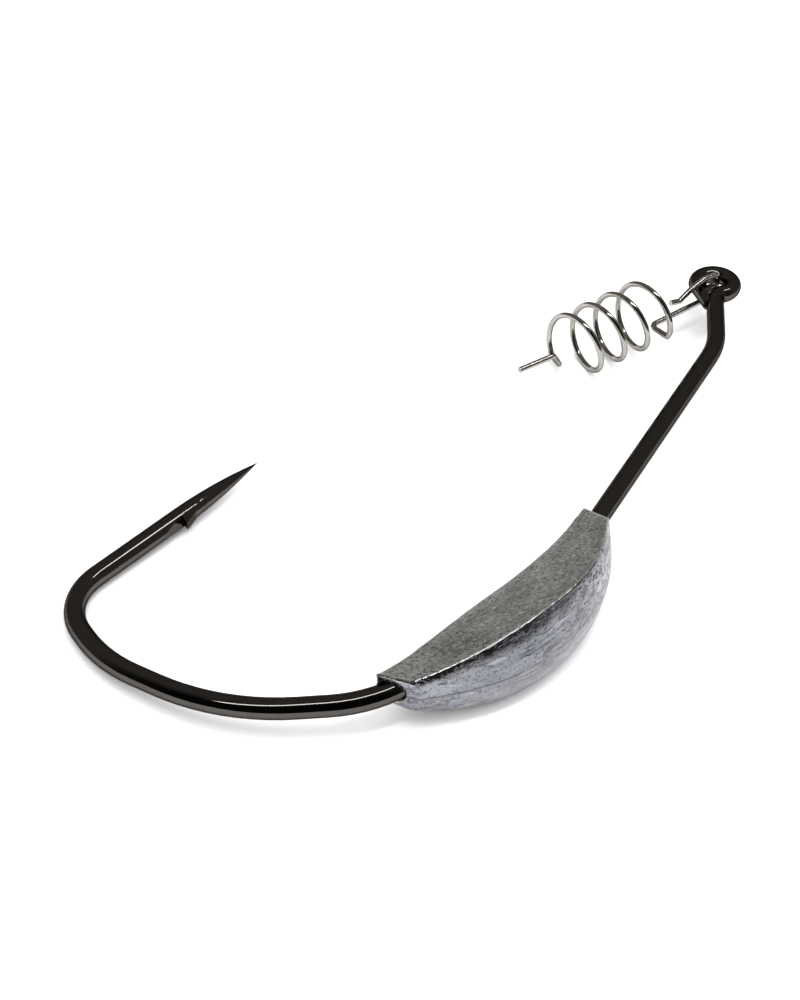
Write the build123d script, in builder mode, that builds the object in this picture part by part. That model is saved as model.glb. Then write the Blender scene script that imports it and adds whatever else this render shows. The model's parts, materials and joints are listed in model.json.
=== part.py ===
from build123d import *
from math import asin, cos, degrees, radians, sin
import os

# A weighted wide-gap bait hook, lying on its side.  It is drawn in the hook's own
# plane: X runs along the shank to the eye, Y across the gap to the point, Z is
# square to the hook.  At the end everything is laid down on the weight, the bend
# and the screw, as it rests on a table.

os.makedirs("parts", exist_ok=True)

# ---------------------------------------------------------------- dimensions, mm
HOOK_WIRE = 2.0
KEEPER_WIRE = 0.65
hook_r = HOOK_WIRE / 2
keeper_r = KEEPER_WIRE / 2

# corners of the hook's bent wire, and the radius that each one is bent to
POINT_TIP = (-12.1, 33.4)
BEND_TOP = (-37.4, 38.7)
BEND_SIDE = (-41.4, 30.9)
BEND_BACK = (-41.4, 18.4)
BELLY_REAR = (-33.6, 6.7)
BELLY_FRONT = (-10.4, 0.0)
NECK = (28.7, 0.0)
BEND_RADII = [5.9, 14.0, 22.0, 13.0, 38.0, 12.0]

# needle point and barb; the barb stands at the needle's root
NEEDLE_LENGTH = 10.9
NEEDLE_MID_RADIUS = 0.76
TIP_RADIUS = 0.04
BARB_HEIGHT = 0.5
BARB_LENGTH = 1.7
BARB_LEAN = 0.15
BARB_THICKNESS = 0.9
BARB_FOOT_DEPTH = 0.1
NOTCH_LENGTH = 2.6
NOTCH_DEPTH = 0.4

# eye ring, bent from the same wire; its free end runs on as a tapered tail against the neck
NECK_ANGLE = 22.0
NECK_LENGTH = 11.8
EYE_RADIUS = 2.0
EYE_ELBOW_RADIUS = 1.6
EYE_SWEEP = 262.0
EYE_TAIL = 3.7
EYE_TAIL_TAPER = 5.0

# resin that seals the ring's free end to the neck: drops (along the neck, to the side,
# radius) from the eye's centre, with a way through for the keeper's clip
RESIN_DROPS = [(-1.4, 0.4, 0.88), (-2.4, 0.85, 1.0)]
RESIN_PASSAGE = 0.68

# cast keel weight: where it ends on the shank, and its sections from the rear.
# Each section is: place along the weight (0 to 1), slant of its plane in degrees,
# half width at the gap side, depth and half width of the ridge, depth of the keel.
WEIGHT_FRONT = (-4.5, 0.0)
WEIGHT_LENGTH = 29.7
WEIGHT_GAP_SIDE = 1.3
WEIGHT_SECTIONS = [
    (0.037, 36.0, 1.60, 1.5, 1.85, 2.1),
    (0.140, 0.0, 1.88, 2.6, 2.70, 3.3),
    (0.270, 0.0, 1.95, 4.2, 3.80, 5.3),
    (0.480, 0.0, 1.95, 5.2, 4.65, 6.6),
    (0.700, 0.0, 2.00, 4.8, 4.60, 5.9),
    (0.870, 0.0, 2.00, 3.1, 3.80, 4.0),
    (0.994, -24.5, 1.90, 2.0, 3.20, 2.4),
]

# screw keeper: places are (along its axis, to the side, up) from the eye's centre
KEEPER_ANGLE = 152.4
COIL_RADIUS = 3.52
COIL_PITCH = 3.24
COIL_TURNS = 3.73
COIL_SPANS = 4
COIL_START = (9.3, 0, 0.2)
COIL_START_PHASE = 126.0
PIN_POINTS = [(21.5, -0.75, -2.9), (23.1, 0, -0.55), (27.7, 0, -0.55)]
PIN_BEND = 0.45
CLIP_POINTS = [
    (9.7, 0.5, -1.6),
    (-0.25, 0, -1.45),
    (-0.25, 0, 1.45),
    (1.9, 0, 1.45),
    (4.1, 0.3, 0.95),
    (5.7, 0.5, 0.2),
    (7.0, 0.4, 0.4),
]
CLIP_BEND = 0.6
CORNER_BALL = 1.01 * keeper_r

# how the hook lies, in degrees: the point's side down, the eye up
LEAN = -4.95
NOSE_UP = -0.7

# ---------------------------------------------------------------- frames
leg = (Vector(*POINT_TIP) - Vector(*BEND_TOP)).normalized()
needle_root = Vector(*POINT_TIP) - leg * NEEDLE_LENGTH
leg_plane = Plane(origin=needle_root, x_dir=leg, z_dir=(0, 0, 1))

neck = Vector(cos(radians(NECK_ANGLE)), sin(radians(NECK_ANGLE)))
eye_centre = Vector(*NECK) + neck * NECK_LENGTH
neck_plane = Plane(origin=eye_centre, x_dir=neck, z_dir=(0, 0, 1))

elbow_turn = 90 - degrees(asin(EYE_ELBOW_RADIUS / (EYE_RADIUS + EYE_ELBOW_RADIUS)))
elbow_reach = (EYE_RADIUS + EYE_ELBOW_RADIUS) * sin(radians(elbow_turn))
neck_end = eye_centre - neck * elbow_reach

keeper = Vector(cos(radians(KEEPER_ANGLE)), sin(radians(KEEPER_ANGLE)))
keeper_plane = Plane(origin=eye_centre, x_dir=keeper, z_dir=(0, 0, 1))


def keeper_point(place):
    """A place on the keeper in the hook's frame."""
    return keeper_plane.from_local_coords(Vector(*place))


# ---------------------------------------------------------------- hook
with BuildPart() as hook:
    with BuildLine() as hook_line:
        bends = FilletPolyline(
            needle_root, BEND_TOP, BEND_SIDE, BEND_BACK, BELLY_REAR, BELLY_FRONT, NECK, neck_end,
            radius=BEND_RADII,
        )
        elbow = JernArc(start=bends @ 1, tangent=bends % 1, radius=EYE_ELBOW_RADIUS, arc_size=-elbow_turn)
        ring = JernArc(start=elbow @ 1, tangent=elbow % 1, radius=EYE_RADIUS, arc_size=EYE_SWEEP)
    with BuildSketch(Plane(origin=hook_line.line @ 0, z_dir=hook_line.line % 0)):
        Circle(hook_r)
    sweep()

    # the ring's free end runs on straight, tapered, against the side of the neck
    with BuildSketch(Plane(origin=ring @ 1, z_dir=ring % 1)):
        Circle(hook_r)
    extrude(amount=EYE_TAIL, taper=EYE_TAIL_TAPER)

    # the needle tapers in a slight curve
    with BuildSketch(leg_plane):
        with BuildLine():
            ThreePointArc((0, hook_r), (NEEDLE_LENGTH / 2, NEEDLE_MID_RADIUS), (NEEDLE_LENGTH, TIP_RADIUS))
            Polyline((NEEDLE_LENGTH, TIP_RADIUS), (NEEDLE_LENGTH, 0), (0, 0), (0, hook_r))
        make_face()
    revolve(axis=Axis(needle_root, leg))

    # the barb is a sliver cut from the wire and lifted
    notch_deepest = (BARB_LEAN, NOTCH_DEPTH - hook_r)
    barb_tip = (-BARB_LEAN, -hook_r - BARB_HEIGHT)
    with BuildSketch(leg_plane):
        with BuildLine():
            Polyline((-NOTCH_LENGTH, -hook_r), notch_deepest, barb_tip, close=True)
        make_face()
    extrude(amount=hook_r, both=True, mode=Mode.SUBTRACT)
    with BuildSketch(leg_plane):
        with BuildLine():
            Polyline(
                barb_tip, notch_deepest,
                (BARB_LENGTH, NOTCH_DEPTH - hook_r), (BARB_LENGTH, BARB_FOOT_DEPTH - hook_r),
                close=True,
            )
        make_face()
    extrude(amount=BARB_THICKNESS / 2, both=True)

# ---------------------------------------------------------------- keel weight
with BuildLine() as belly_line:
    FilletPolyline(BEND_SIDE, BEND_BACK, BELLY_REAR, BELLY_FRONT, WEIGHT_FRONT, radius=BEND_RADII[2:5])
belly = belly_line.wire()

with BuildPart() as keel_weight:
    for place, slant, gap_half, ridge, ridge_half, keel in WEIGHT_SECTIONS:
        distance = belly.length - (1 - place) * WEIGHT_LENGTH
        along = belly.tangent_at(distance, position_mode=PositionMode.LENGTH).rotate(Axis.Z, slant)
        centre = belly.position_at(distance, position_mode=PositionMode.LENGTH)
        gap_x, ridge_x, keel_x = (depth / cos(radians(slant)) for depth in (WEIGHT_GAP_SIDE, -ridge, -keel))
        with BuildSketch(Plane(origin=centre, x_dir=Vector(0, 0, 1).cross(along), z_dir=along)):
            with BuildLine():
                Polyline((ridge_x, -ridge_half), (gap_x, -gap_half), (gap_x, gap_half), (ridge_x, ridge_half))
                ThreePointArc((ridge_x, ridge_half), (keel_x, 0), (ridge_x, -ridge_half))
            make_face()
    loft()
    add(hook.part, mode=Mode.SUBTRACT)

# ---------------------------------------------------------------- resin
with BuildPart() as eye_resin:
    for along_neck, to_side, radius in RESIN_DROPS:
        with Locations(neck_plane.location * Pos(along_neck, to_side)):
            Sphere(radius)
    with Locations(eye_centre):
        Cylinder(RESIN_PASSAGE, 2 * HOOK_WIRE, mode=Mode.SUBTRACT)
    add(hook.part, mode=Mode.SUBTRACT)

# ---------------------------------------------------------------- screw keeper
pin_points = [keeper_point(place) for place in PIN_POINTS]
clip_points = [keeper_point(place) for place in CLIP_POINTS]

# a right-hand coil in spans of about one turn, whose axis runs on through the pin
coil_base = keeper_point(COIL_START)
coil_axis = (pin_points[-1] - coil_base).normalized()
phase = radians(COIL_START_PHASE)
first_radius = keeper_point((0, sin(phase), cos(phase))) - eye_centre
span_turns = COIL_TURNS / COIL_SPANS
spans = []
for number in range(COIL_SPANS):
    turned = number * span_turns
    span_start = coil_base + coil_axis * (COIL_PITCH * turned)
    span_radius = first_radius.rotate(Axis((0, 0, 0), coil_axis), 360 * turned)
    span_plane = Plane(origin=span_start, x_dir=span_radius, z_dir=coil_axis)
    spans.append(span_plane * Helix(pitch=COIL_PITCH, height=COIL_PITCH * span_turns, radius=COIL_RADIUS))
coil_line = Wire(spans)

with BuildPart() as screw_keeper:
    with BuildSketch(Plane(origin=coil_line @ 0, z_dir=coil_line % 0)):
        Circle(keeper_r)
    sweep(path=coil_line, is_frenet=True)

    # from one end of the coil along the rod to the clip, from the other to the pin
    clip_run = [coil_line @ 0] + clip_points
    pin_run = [coil_line @ 1] + pin_points
    for corners, bend in ((clip_run, CLIP_BEND), (pin_run, PIN_BEND)):
        with BuildLine() as bent_line:
            FilletPolyline(*corners, radius=bend)
        with BuildSketch(Plane(origin=bent_line.line @ 0, z_dir=bent_line.line % 0)):
            Circle(keeper_r)
        sweep(path=bent_line.line)
    with Locations(coil_line @ 0, coil_line @ 1):
        Sphere(CORNER_BALL)

# ---------------------------------------------------------------- laid down
pieces = {"hook": hook, "keel_weight": keel_weight, "eye_resin": eye_resin, "screw_keeper": screw_keeper}
tilt = Location((0, 0, 0), (LEAN, NOSE_UP, 0))
box = Compound([piece.part.moved(tilt) for piece in pieces.values()]).bounding_box()
as_it_lies = Location((-box.center().X, -box.center().Y, -box.min.Z)) * tilt

for label, piece in pieces.items():
    piece.part.move(as_it_lies)
    piece.part.label = label
    export_step(piece.part, f"parts/{label}.step")
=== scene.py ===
import json
import math

import bmesh
import bpy
import numpy as np
from mathutils import Matrix, Vector, noise


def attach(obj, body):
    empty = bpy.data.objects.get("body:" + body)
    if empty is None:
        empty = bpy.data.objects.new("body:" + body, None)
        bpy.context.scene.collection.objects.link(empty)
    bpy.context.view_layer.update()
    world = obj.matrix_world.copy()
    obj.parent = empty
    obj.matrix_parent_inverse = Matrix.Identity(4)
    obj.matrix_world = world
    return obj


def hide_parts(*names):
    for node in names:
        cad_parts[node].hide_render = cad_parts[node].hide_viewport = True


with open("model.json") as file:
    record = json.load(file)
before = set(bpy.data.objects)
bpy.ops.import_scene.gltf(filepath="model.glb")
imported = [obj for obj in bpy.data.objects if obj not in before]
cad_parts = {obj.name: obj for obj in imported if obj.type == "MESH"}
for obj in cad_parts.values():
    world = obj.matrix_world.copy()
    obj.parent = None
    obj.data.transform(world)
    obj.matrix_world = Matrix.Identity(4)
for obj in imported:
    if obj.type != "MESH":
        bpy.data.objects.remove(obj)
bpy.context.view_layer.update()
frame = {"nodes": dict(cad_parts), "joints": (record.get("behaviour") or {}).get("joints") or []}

MM = 0.001

# The hook lies in a plane: the keeper's hinge stands square to it, on the eye's centre.
swing = next(joint for joint in frame["joints"] if joint["name"] == "keeper_swing")
EYE = Vector(swing["pos_m"])
HOOK_NORMAL = Vector(swing["axis"]).normalized()

# ------------------------------------------------------------------ camera
CAMERA_PLACE = Vector((-118.6, -48.47, 116.75)) * MM
CAMERA_HEADING = 24.56      # degrees from +X, towards +Y
CAMERA_DROP = 43.60         # degrees below the horizon
CAMERA_ROLL = 6.45          # degrees
CAMERA_LENS = 60.48         # mm on a 36 mm sensor, along the picture's long side
CAMERA_SENSOR = 36.0
CAMERA_NEAREST = 5 * MM


def make_camera():
    heading = math.radians(CAMERA_HEADING)
    drop = math.radians(CAMERA_DROP)
    roll = math.radians(CAMERA_ROLL)
    ahead = math.cos(drop)
    forward = Vector((ahead * math.cos(heading), ahead * math.sin(heading), -math.sin(drop)))
    level = forward.cross(Vector((0, 0, 1))).normalized()
    right = Matrix.Rotation(-roll, 3, forward) @ level
    up = right.cross(forward)
    data = bpy.data.cameras.new("camera")
    data.lens = CAMERA_LENS
    data.sensor_width = CAMERA_SENSOR
    data.clip_start = CAMERA_NEAREST
    camera = bpy.data.objects.new("camera", data)
    turn = Matrix((right, up, -forward)).transposed()
    camera.matrix_world = Matrix.Translation(CAMERA_PLACE) @ turn.to_4x4()
    bpy.context.scene.collection.objects.link(camera)
    bpy.context.scene.camera = camera


# ------------------------------------------------------------------ studio
# White paper, as a square grid.
PAPER_REACH = 1.5           # metres from its middle to each edge
PAPER_CELLS = 24            # along each edge
PAPER_COLOUR = (0.92, 0.92, 0.935, 1)


def make_floor():
    bm = bmesh.new()
    bmesh.ops.create_grid(bm, x_segments=PAPER_CELLS, y_segments=PAPER_CELLS, size=PAPER_REACH)
    mesh = bpy.data.meshes.new("floor")
    bm.to_mesh(mesh)
    bm.free()
    floor = bpy.data.objects.new("floor", mesh)
    bpy.context.scene.collection.objects.link(floor)
    material = bpy.data.materials.new("floor_paper")
    material.use_nodes = True
    shader = material.node_tree.nodes["Principled BSDF"]
    shader.inputs["Base Color"].default_value = PAPER_COLOUR
    shader.inputs["Roughness"].default_value = 0.9
    shader.inputs["Specular IOR Level"].default_value = 0.1
    mesh.materials.append(material)


def area_light(name, place, size, watts, in_reflections=True):
    """A rectangular light that faces the object. size is (along its own X, along its own Y)."""
    data = bpy.data.lights.new(name, "AREA")
    data.shape = "RECTANGLE"
    data.size, data.size_y = size
    data.energy = watts
    light = bpy.data.objects.new(name, data)
    light.location = place
    light.rotation_euler = (-Vector(place)).to_track_quat("-Z", "Y").to_euler()
    light.visible_glossy = in_reflections
    bpy.context.scene.collection.objects.link(light)
    return light


# The room is dim, and darkest on the near side, behind the camera. It darkens between two
# cosines of the angle from that side.
ROOM_COLOUR = (1.0, 0.965, 0.92, 1)
ROOM_STRENGTH = 0.24
NEAR_SIDE = (-0.83, -0.34, 0.44)
NEAR_STRENGTH = 0.02
DARKER_FROM = 0.15
DARKEST_FROM = 0.75


def make_room():
    world = bpy.data.worlds.new("studio")
    world.use_nodes = True
    tree = world.node_tree
    background = tree.nodes["Background"]
    background.inputs["Color"].default_value = ROOM_COLOUR
    direction = tree.nodes.new("ShaderNodeTexCoord").outputs["Generated"]
    nearness = tree.nodes.new("ShaderNodeVectorMath")
    nearness.operation = "DOT_PRODUCT"
    nearness.inputs[1].default_value = NEAR_SIDE
    tree.links.new(direction, nearness.inputs[0])
    strength = tree.nodes.new("ShaderNodeMapRange")
    strength.interpolation_type = "SMOOTHSTEP"
    strength.inputs["From Min"].default_value = DARKER_FROM
    strength.inputs["From Max"].default_value = DARKEST_FROM
    strength.inputs["To Min"].default_value = ROOM_STRENGTH
    strength.inputs["To Max"].default_value = NEAR_STRENGTH
    tree.links.new(nearness.outputs["Value"], strength.inputs["Value"])
    tree.links.new(strength.outputs["Result"], background.inputs["Strength"])
    bpy.context.scene.world = world


# A wide soft box overhead lights the paper, and a narrow tube draws the bright lines.
SOFT_BOX_PLACE = (-0.05, -0.05, 0.9)
SOFT_BOX_SIZE = (2.4, 2.4)
SOFT_BOX_WATTS = 34.0
TUBE_PLACE = (0.0, -0.09, 0.9)
TUBE_SIZE = (1.15, 0.09)
TUBE_WATTS = 4.8
TUBE_TURN = -32             # degrees about Z; it shines straight down


def make_lights():
    # plain tones, so that the paper comes out white
    bpy.context.scene.view_settings.view_transform = "Standard"
    area_light("soft_box", SOFT_BOX_PLACE, SOFT_BOX_SIZE, SOFT_BOX_WATTS, in_reflections=False)
    tube = area_light("tube", TUBE_PLACE, TUBE_SIZE, TUBE_WATTS)
    tube.rotation_euler = (0, 0, math.radians(TUBE_TURN))


# ------------------------------------------------------------------ materials
class Nodes:
    """Short names for building a node material."""

    def __init__(self, name):
        self.material = bpy.data.materials.new(name)
        self.material.use_nodes = True
        self.tree = self.material.node_tree
        self.shader = self.tree.nodes["Principled BSDF"]
        self.place = self.tree.nodes.new("ShaderNodeTexCoord").outputs["Object"]

    def link(self, source, target):
        self.tree.links.new(source, target)

    def set(self, **values):
        for name, value in values.items():
            self.shader.inputs[name.replace("_", " ")].default_value = value

    def noise(self, size, detail=4.0, roughness=0.55, stretch=None):
        """Noise whose features are about size across, in metres."""
        node = self.tree.nodes.new("ShaderNodeTexNoise")
        node.inputs["Scale"].default_value = 1 / size
        node.inputs["Detail"].default_value = detail
        node.inputs["Roughness"].default_value = roughness
        self.link(self.stretched(stretch), node.inputs["Vector"])
        return node.outputs["Fac"]

    def cells(self, size, stretch=None):
        """Distance from the nearest of a scatter of points about size apart."""
        node = self.tree.nodes.new("ShaderNodeTexVoronoi")
        node.inputs["Scale"].default_value = 1 / size
        self.link(self.stretched(stretch), node.inputs["Vector"])
        return node.outputs["Distance"]

    def stretched(self, stretch):
        if stretch is None:
            return self.place
        node = self.tree.nodes.new("ShaderNodeMapping")
        node.inputs["Scale"].default_value = stretch
        self.link(self.place, node.inputs["Vector"])
        return node.outputs["Vector"]

    def ramp(self, value, low, high, to_low=0.0, to_high=1.0):
        node = self.tree.nodes.new("ShaderNodeMapRange")
        node.inputs["From Min"].default_value = low
        node.inputs["From Max"].default_value = high
        node.inputs["To Min"].default_value = to_low
        node.inputs["To Max"].default_value = to_high
        self.link(value, node.inputs["Value"])
        return node.outputs["Result"]

    def math(self, operation, a, b):
        node = self.tree.nodes.new("ShaderNodeMath")
        node.operation = operation
        for socket, value in zip(node.inputs, (a, b)):
            if isinstance(value, (int, float)):
                socket.default_value = value
            else:
                self.link(value, socket)
        return node.outputs[0]

    def mix(self, share, a, b):
        """Colour a where share is 0, colour b where it is 1."""
        node = self.tree.nodes.new("ShaderNodeMix")
        node.data_type = "RGBA"
        self.link(share, node.inputs[0])
        for socket, value in ((node.inputs[6], a), (node.inputs[7], b)):
            if isinstance(value, tuple):
                socket.default_value = (*value, 1)
            else:
                self.link(value, socket)
        return node.outputs[2]

    def attribute(self, name, output="Fac"):
        node = self.tree.nodes.new("ShaderNodeAttribute")
        node.attribute_name = name
        return node.outputs[output]

    def bump(self, height, distance, before=None):
        """Relief of this height, whose full depth is distance, in metres."""
        node = self.tree.nodes.new("ShaderNodeBump")
        node.inputs["Distance"].default_value = distance
        self.link(height, node.inputs["Height"])
        if before is not None:
            self.link(before, node.inputs["Normal"])
        return node.outputs["Normal"]


def black_nickel():
    """Glossy black nickel plate on wire: nearly mirror smooth, with faint handling marks."""
    m = Nodes("black_nickel")
    m.set(Metallic=1.0, Specular_Tint=(0.34, 0.33, 0.32, 1))
    clouds = m.noise(1.6 * MM)
    base = m.mix(clouds, (0.064, 0.060, 0.056), (0.088, 0.082, 0.077))
    m.link(base, m.shader.inputs["Base Color"])
    marks = m.noise(0.22 * MM, detail=6)
    m.link(m.ramp(marks, 0.35, 0.75, 0.05, 0.12), m.shader.inputs["Roughness"])
    m.link(m.bump(m.noise(0.6 * MM, detail=2), 0.0012 * MM), m.shader.inputs["Normal"])
    return m.material


def drawn_stainless():
    """Bright drawn stainless wire, with faint drawing marks."""
    m = Nodes("drawn_stainless")
    m.set(Metallic=1.0, Specular_Tint=(0.24, 0.235, 0.225, 1))
    clouds = m.noise(0.8 * MM)
    base = m.mix(clouds, (0.31, 0.298, 0.272), (0.43, 0.414, 0.382))
    m.link(base, m.shader.inputs["Base Color"])
    marks = m.noise(0.1 * MM, detail=5)
    m.link(m.ramp(marks, 0.3, 0.75, 0.08, 0.22), m.shader.inputs["Roughness"])
    m.link(m.bump(m.noise(0.12 * MM, detail=4), 0.003 * MM), m.shader.inputs["Normal"])
    return m.material


def black_resin():
    """Thick glossy black resin, wavy where it set."""
    m = Nodes("black_resin")
    clouds = m.noise(0.6 * MM)
    base = m.mix(clouds, (0.008, 0.008, 0.008), (0.016, 0.015, 0.014))
    m.link(base, m.shader.inputs["Base Color"])
    m.link(m.ramp(clouds, 0.3, 0.7, 0.03, 0.10), m.shader.inputs["Roughness"])
    m.set(Specular_IOR_Level=0.3)
    m.link(m.bump(m.noise(0.3 * MM, detail=2), 0.03 * MM), m.shader.inputs["Normal"])
    return m.material


# Colours of the cast lead: frosted flanks, keel face, and the marks on them. The warm tint of the
# flank colours and the cool tint of the face colours are painted reflections, of the warm room and
# of the pale paper.
FLANK_DARK = (0.165, 0.163, 0.153)
FLANK_PALE = (0.31, 0.307, 0.292)
FLANK_GRAIN = (0.05, 0.05, 0.046)
FLANK_SPECKLE = (0.46, 0.456, 0.435)
FACE_DARK = (0.165, 0.17, 0.187)
FACE_PALE = (0.26, 0.265, 0.285)
FACE_GRAIN = (0.06, 0.063, 0.075)
FACE_LINE = (0.40, 0.40, 0.425)
FACE_CUT = (0.05, 0.05, 0.06)
PIT = (0.012, 0.012, 0.013)
# a painted highlight for the ridges
RIDGE_PAINTED_HIGHLIGHT = (0.62, 0.615, 0.60)
# painted shade for the step at the parting line
SEAM_STEP_PAINTED_SHADE = (0.03, 0.03, 0.035)

# Depths of its fine relief.
GRAIN_DEPTH = 0.018 * MM
PIT_DEPTH = 0.05 * MM
SCRATCH_DEPTH = 0.010 * MM


def cast_lead():
    """Bare cast lead alloy. Its textures follow the casting from rear to front ("flow").

    The flanks are frosted by the mould. The keel face is rubbed brighter, scratched along
    its length and pitted towards the front, and a painted highlight lies along the ridges.
    """
    m = Nodes("cast_lead")
    m.place = m.attribute("flow", "Vector")
    keel = m.attribute("keel")
    front = m.attribute("front")
    ridge = m.attribute("ridge")
    seam = m.attribute("seam")
    clouds = m.noise(2.6 * MM, detail=5, stretch=(0.5, 1, 1))
    grain = m.noise(0.26 * MM, detail=5, roughness=0.75)
    speckle = m.noise(0.42 * MM, detail=4, roughness=0.8)
    patches = m.ramp(m.noise(2.4 * MM, detail=3), 0.38, 0.62)
    reach = m.math("ADD", m.math("MULTIPLY", front, 0.30), m.math("MULTIPLY", patches, 0.14))
    beyond = m.math("SUBTRACT", m.cells(0.40 * MM, stretch=(0.6, 1, 1)), reach)
    pits = m.ramp(beyond, -0.03, 0.02, 1.0, 0.0)
    mottle = m.noise(0.80 * MM, detail=5, roughness=0.75, stretch=(0.45, 1, 1))
    where = m.math("MAXIMUM", front, m.math("MULTIPLY", patches, 0.4))
    blots = m.math("MULTIPLY", m.ramp(mottle, 0.54, 0.575), where)
    dark = m.math("MULTIPLY", m.math("MAXIMUM", pits, blots), m.ramp(keel, 0.0, 1.0, 0.35, 0.85))
    lines = m.ramp(m.noise(0.45 * MM, detail=3, stretch=(0.07, 1, 1)), 0.58, 0.62)
    cuts = m.ramp(m.noise(0.50 * MM, detail=2, stretch=(0.09, 1, 1)), 0.33, 0.36, 1.0, 0.0)

    flank = m.mix(m.ramp(clouds, 0.35, 0.65), FLANK_DARK, FLANK_PALE)
    flank = m.mix(m.ramp(grain, 0.42, 0.50, 0.9, 0.0), flank, FLANK_GRAIN)
    flank = m.mix(m.ramp(speckle, 0.55, 0.62, 0.0, 0.7), flank, FLANK_SPECKLE)
    face = m.mix(m.ramp(clouds, 0.35, 0.65), FACE_DARK, FACE_PALE)
    face = m.mix(m.ramp(grain, 0.40, 0.47, 0.8, 0.0), face, FACE_GRAIN)
    face = m.mix(m.math("MULTIPLY", lines, 0.4), face, FACE_LINE)
    face = m.mix(m.math("MULTIPLY", cuts, 0.6), face, FACE_CUT)
    # flank and keel face differ in finish, and in tint by painted reflection: warm room on the
    # flanks, cool paper on the keel face
    base = m.mix(keel, flank, face)
    base = m.mix(dark, base, PIT)
    # painted highlight: a pale colour along the ridges stands in for the bright line of light on
    # them
    base = m.mix(m.math("MULTIPLY", ridge, 0.6), base, RIDGE_PAINTED_HIGHLIGHT)
    # painted shade: a dark line on the keel face along the parting line's step
    base = m.mix(m.math("MULTIPLY", m.math("MULTIPLY", seam, keel), 0.8), base, SEAM_STEP_PAINTED_SHADE)
    m.link(base, m.shader.inputs["Base Color"])

    # a film of oxide dulls the flanks
    m.link(m.ramp(keel, 0.0, 1.0, 0.74, 0.98), m.shader.inputs["Metallic"])
    frosted = m.ramp(grain, 0.3, 0.7, 0.30, 0.46)
    rubbed = m.math("ADD", m.ramp(grain, 0.3, 0.7, 0.09, 0.15), m.math("MULTIPLY", front, 0.14))
    rough_flank = m.math("MULTIPLY", frosted, m.math("SUBTRACT", 1.0, keel))
    rough = m.math("ADD", rough_flank, m.math("MULTIPLY", rubbed, keel))
    m.link(m.math("SUBTRACT", rough, m.math("MULTIPLY", ridge, 0.06)), m.shader.inputs["Roughness"])
    fine = m.bump(grain, GRAIN_DEPTH)
    deep = m.bump(dark, -PIT_DEPTH, before=fine)
    scratched = m.bump(m.math("SUBTRACT", cuts, lines), -SCRATCH_DEPTH, before=deep)
    m.link(scratched, m.shader.inputs["Normal"])
    return m.material


# ------------------------------------------------------------------ pieces
MERGE_WITHIN = 0.001 * MM
SOFTENING = 0.5             # share of the way to its neighbours' mean, each round


def remeshed(name, node, voxel, rounds):
    """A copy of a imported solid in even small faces, with its edges softened."""
    bm = bmesh.new()
    bm.from_mesh(frame["nodes"][node].data)
    bmesh.ops.remove_doubles(bm, verts=bm.verts, dist=MERGE_WITHIN)
    mesh = bpy.data.meshes.new(name)
    bm.to_mesh(mesh)
    bm.free()
    piece = bpy.data.objects.new(name, mesh)
    bpy.context.scene.collection.objects.link(piece)
    even = piece.modifiers.new("even", "REMESH")
    even.mode = "VOXEL"
    even.voxel_size = voxel
    soft = piece.modifiers.new("soft", "SMOOTH")
    soft.factor = SOFTENING
    soft.iterations = rounds
    finished = piece.evaluated_get(bpy.context.evaluated_depsgraph_get())
    piece.data = bpy.data.meshes.new_from_object(finished)
    piece.modifiers.clear()
    piece.data.shade_smooth()
    return piece


def points_and_normals(piece):
    count = len(piece.data.vertices)
    points = np.zeros(count * 3)
    normals = np.zeros(count * 3)
    piece.data.vertices.foreach_get("co", points)
    piece.data.vertices.foreach_get("normal", normals)
    return points.reshape(-1, 3), normals.reshape(-1, 3)


def relief(points, size, depth, seed):
    """Smooth noise, about -depth to depth, with features about size across."""
    shift = Vector((seed, -seed, 2 * seed))
    return np.array([noise.noise(Vector(point) / size + shift) for point in points]) * depth


def neighbour_means(piece, values):
    """For each vertex, the mean of these values over the vertices that it shares an edge with."""
    edges = np.zeros(len(piece.data.edges) * 2, dtype=np.int64)
    piece.data.edges.foreach_get("vertices", edges)
    first, second = edges.reshape(-1, 2).T
    total = np.zeros_like(values)
    np.add.at(total, first, values[second])
    np.add.at(total, second, values[first])
    count = np.bincount(edges, minlength=len(values)).reshape((-1,) + (1,) * (values.ndim - 1))
    return total / np.maximum(count, 1)


def smooth_step(value, low, high):
    share = np.clip((value - low) / (high - low), 0, 1)
    return share * share * (3 - 2 * share)


def store(piece, name, values):
    if values.ndim == 1:
        attribute = piece.data.attributes.new(name, "FLOAT", "POINT")
        attribute.data.foreach_set("value", values.astype(np.float32))
    else:
        attribute = piece.data.attributes.new(name, "FLOAT_VECTOR", "POINT")
        attribute.data.foreach_set("vector", values.astype(np.float32).ravel())


# Seen with the point up, the casting slopes down from the bend and levels out at its front.
REAR_TURN = 38.0            # degrees, at the casting's rear
STATIONS = 60               # steps along the casting in which it is measured
FULLER = 0.6 * MM           # the keel face stands out by up to 0.15 of this

CASTING_VOXEL = 0.13 * MM
CASTING_ROUNDS = 26
KEEL_FACING = (-0.05, 0.45)                 # turned from the gap: not at all, and fully
RIDGE_BULGE = (0.0038 * MM, 0.0070 * MM)    # height over the neighbours' mean: none, full

# Unevenness: (size across, depth, seed of the noise).
WANDER = (6 * MM, 0.12 * MM, 3.1)           # of the parting line, up and down
DENTS = (2.2 * MM, 0.035 * MM, 7.7)
RIPPLE = (0.7 * MM, 0.012 * MM, 1.3)
RESIN_LUMPS = (0.6 * MM, 0.08 * MM, 4.2)

# The parting line is a low ridge, with a step where the mould's halves don't quite meet.
SEAM_WIDTH = 0.11 * MM
SEAM_HEIGHT = 0.035 * MM
STEP_WIDTH = 0.08 * MM
STEP_HEIGHT = 0.012 * MM
DRAWN_IN = 0.03 * MM        # of the whole surface, which keeps the dents within the CAD box

RESIN_VOXEL = 0.06 * MM
RESIN_ROUNDS = 6


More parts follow.
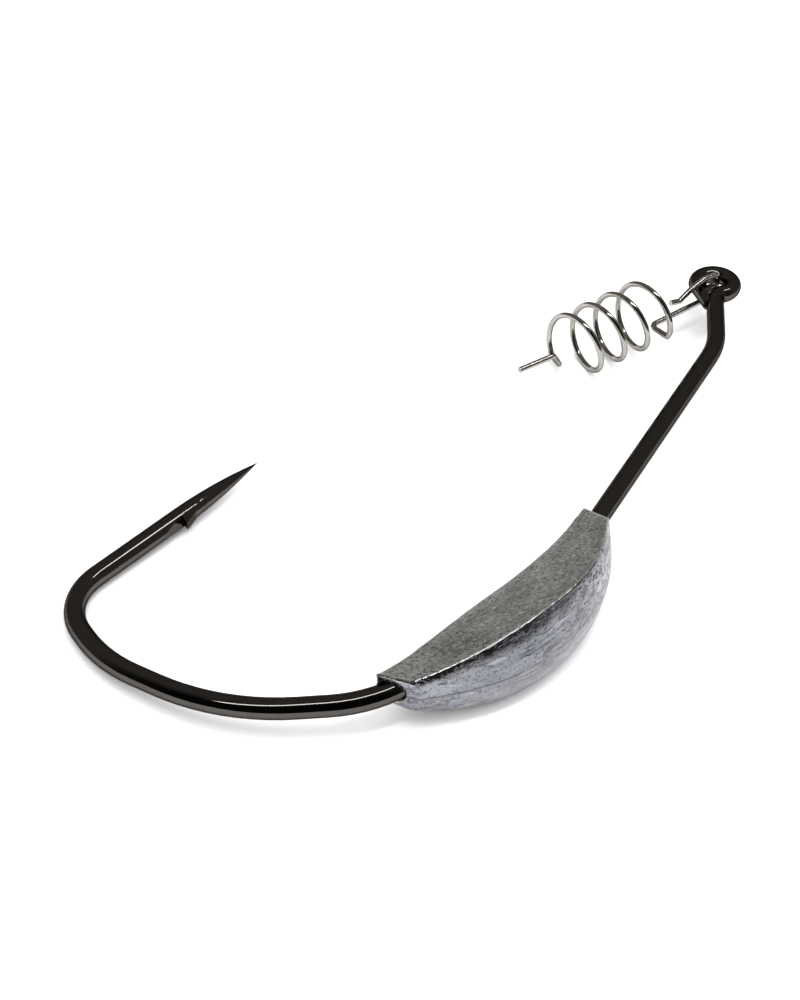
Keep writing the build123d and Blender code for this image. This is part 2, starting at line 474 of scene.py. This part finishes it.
def make_weight():
    """The cast keel weight, with the waviness of a casting and its mould's parting line."""
    piece = remeshed("keel_casting", "keel_weight", CASTING_VOXEL, CASTING_ROUNDS)
    points, normals = points_and_normals(piece)
    up = np.array(HOOK_NORMAL)
    height = (points - np.array(EYE)) @ up
    front = smooth_step(points[:, 0], points[:, 0].min(), points[:, 0].max())
    turn = np.radians(REAR_TURN) * (1 - front)
    gap_side = np.column_stack((np.sin(turn), np.cos(turn), np.zeros(len(points))))
    keel = smooth_step(-(normals * gap_side).sum(axis=1), *KEEL_FACING)
    curvature = ((points - neighbour_means(piece, points)) * normals).sum(axis=1)
    for _ in range(2):
        curvature = neighbour_means(piece, curvature)
    # the ridges: where the painted highlight lies and the roughness drops
    ridge = smooth_step(curvature, *RIDGE_BULGE)

    # textures follow the casting: distance along it, distance from its middle line, height
    stations = np.linspace(points[:, 0].min(), points[:, 0].max(), STATIONS)
    station_turn = np.radians(REAR_TURN) * (1 - smooth_step(stations, stations[0], stations[-1]))
    step = stations[1] - stations[0]
    reach = np.cumsum(step / np.cos(station_turn))
    fall = np.cumsum(step * np.tan(station_turn))
    along = np.interp(points[:, 0], stations, reach)
    aside = (points[:, 1] + np.interp(points[:, 0], stations, fall)) * np.cos(turn)
    flow = np.column_stack((along, aside, height))

    # the keel face is fuller near its ridges than a plain arc, most of all at the rear
    station = np.searchsorted(stations, points[:, 0])
    widest = np.zeros(STATIONS)
    np.maximum.at(widest, station, np.abs(height))
    across = np.clip(np.abs(height) / widest[station], 0, 1)
    fuller = FULLER * (across ** 2 - across ** 3) * keel * (1 - 0.8 * front)

    from_seam = height - relief(points, *WANDER)
    seam = np.exp(-((from_seam / SEAM_WIDTH) ** 2))
    dents = relief(points, *DENTS)
    ripple = relief(points, *RIPPLE)
    mismatch = np.tanh(from_seam / STEP_WIDTH) * STEP_HEIGHT
    outward = fuller + dents + ripple + mismatch + seam * SEAM_HEIGHT - DRAWN_IN
    piece.data.vertices.foreach_set("co", (points + normals * outward[:, None]).ravel())

    fields = {"seam": seam, "keel": keel, "front": front, "ridge": ridge, "flow": flow}
    for name, values in fields.items():
        store(piece, name, values)
    piece.data.update()
    piece.data.materials.clear()
    piece.data.materials.append(cast_lead())
    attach(piece, "hook_body")
    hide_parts("keel_weight")


def make_resin():
    """The resin drop in the eye, a little uneven."""
    piece = remeshed("eye_resin_drop", "eye_resin", RESIN_VOXEL, RESIN_ROUNDS)
    points, normals = points_and_normals(piece)
    lumps = relief(points, *RESIN_LUMPS)
    piece.data.vertices.foreach_set("co", (points + normals * lumps[:, None]).ravel())
    piece.data.update()
    piece.data.materials.clear()
    piece.data.materials.append(black_resin())
    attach(piece, "hook_body")
    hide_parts("eye_resin")


def repaint(node, material):
    """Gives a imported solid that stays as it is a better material."""
    slots = frame["nodes"][node].data.materials
    slots.clear()
    slots.append(material)


make_camera()
make_floor()
make_room()
make_lights()
repaint("hook", black_nickel())
repaint("screw_keeper", drawn_stainless())
make_weight()
make_resin()
